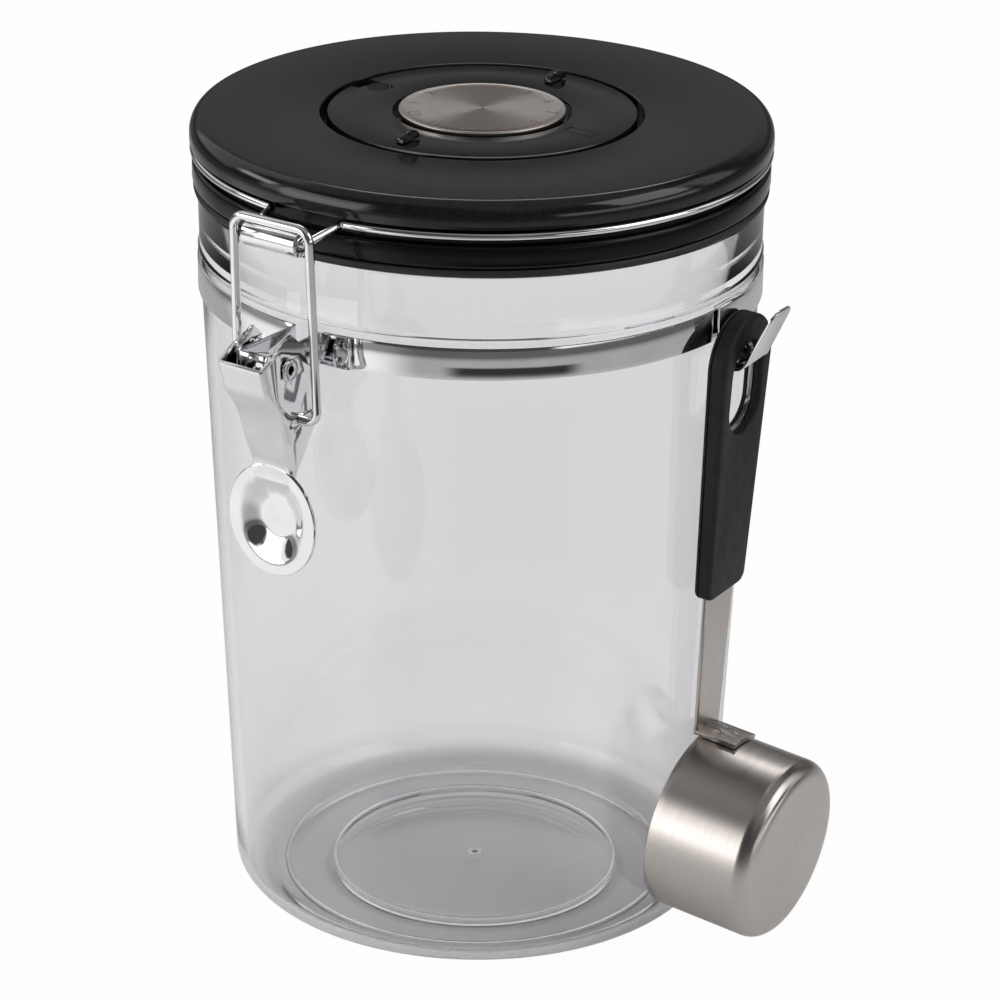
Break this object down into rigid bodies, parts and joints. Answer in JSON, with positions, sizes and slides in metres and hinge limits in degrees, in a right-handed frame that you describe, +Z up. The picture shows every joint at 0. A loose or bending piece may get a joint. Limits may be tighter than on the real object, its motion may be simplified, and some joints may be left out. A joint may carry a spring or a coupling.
{
  "type": "clamp lid canister",
  "caption": "Round clear canister with a hinged black lid, over-centre wire latch, turning date dial, one-way valve and a measuring scoop hung on a side hook.",
  "frame": {"origin": "centre of the jar's base, on the plane that it stands on", "axes": "+Z up along the jar's axis, -Y towards the latch, +Y towards the rear hinge, +X towards the scoop"},
  "size_m": [0.1585, 0.1633, 0.1965],
  "materials": {
    "clear_plastic": "clear, polished",
    "chrome": "bright chrome plate",
    "gloss_black": "gloss with fine moulding marks",
    "matte_black": "satin",
    "black_rubber": "matte",
    "brushed_steel": "brushed",
    "filter_felt": "felt",
    "valve_silicone": "soft, translucent white"
  },
  "bodies": {
    "jar": {"jar_body": "clear_plastic", "band_strap": "chrome", "latch_rivet": "chrome", "hinge_bracket": "chrome", "scoop_hook": "chrome"},
    "lid": {"lid_cover": "gloss_black", "lid_tray": "gloss_black", "lid_gasket": "black_rubber", "lid_wire": "chrome", "keeper_sleeve": "chrome", "valve_seat": "matte_black", "valve_cap": "matte_black", "filter_disc": "filter_felt"},
    "valve_cover": {"valve_cover": "gloss_black", "cover_stud_front": "gloss_black", "cover_stud_rear": "gloss_black"},
    "date_dial": {"date_dial": "brushed_steel", "dial_hub": "matte_black", "dial_clip": "brushed_steel"},
    "valve_flap": {"valve_flap": "valve_silicone"},
    "lever": {"latch_lever": "chrome"},
    "loop": {"latch_loop": "chrome"},
    "scoop": {"scoop_cup": "brushed_steel", "scoop_arm": "brushed_steel", "handle_front_shell": "matte_black", "handle_back_shell": "matte_black"}
  },
  "joints": [
    {"name": "lid_hinge", "type": "hinge", "parent": "jar", "child": "lid", "pos_m": [0, 0.0715, 0.1752], "axis": [-1, 0, 0], "range_deg": [0, 105]},
    {"name": "cover_twist", "type": "hinge", "parent": "lid", "child": "valve_cover", "pos_m": [0, 0, 0.19], "axis": [0, 0, 1], "range_deg": [0, 45]},
    {"name": "dial_turn", "type": "hinge", "parent": "valve_cover", "child": "date_dial", "pos_m": [0, 0, 0.193], "axis": [0, 0, 1], "continuous": true},
    {"name": "flap_lift", "type": "slide", "parent": "lid", "child": "valve_flap", "axis": [0, 0, 1], "range_m": [0, 0.0008]},
    {"name": "lever_hinge", "type": "hinge", "parent": "jar", "child": "lever", "pos_m": [0, -0.0796, 0.1562], "axis": [-1, 0, 0], "range_deg": [0, 125]},
    {"name": "loop_hinge", "type": "hinge", "parent": "lever", "child": "loop", "pos_m": [0, -0.0762, 0.1436], "axis": [-1, 0, 0], "range_deg": [-150, 0]},
    {"name": "scoop_lift", "type": "slide", "parent": "jar", "child": "scoop", "axis": [0.4298, 0.0255, 0.9026], "range_m": [0, 0.03]}
  ],
  "couplings": [
    {"joint": "loop_hinge", "follows": "lever_hinge", "ratio": -1.2}
  ]
}
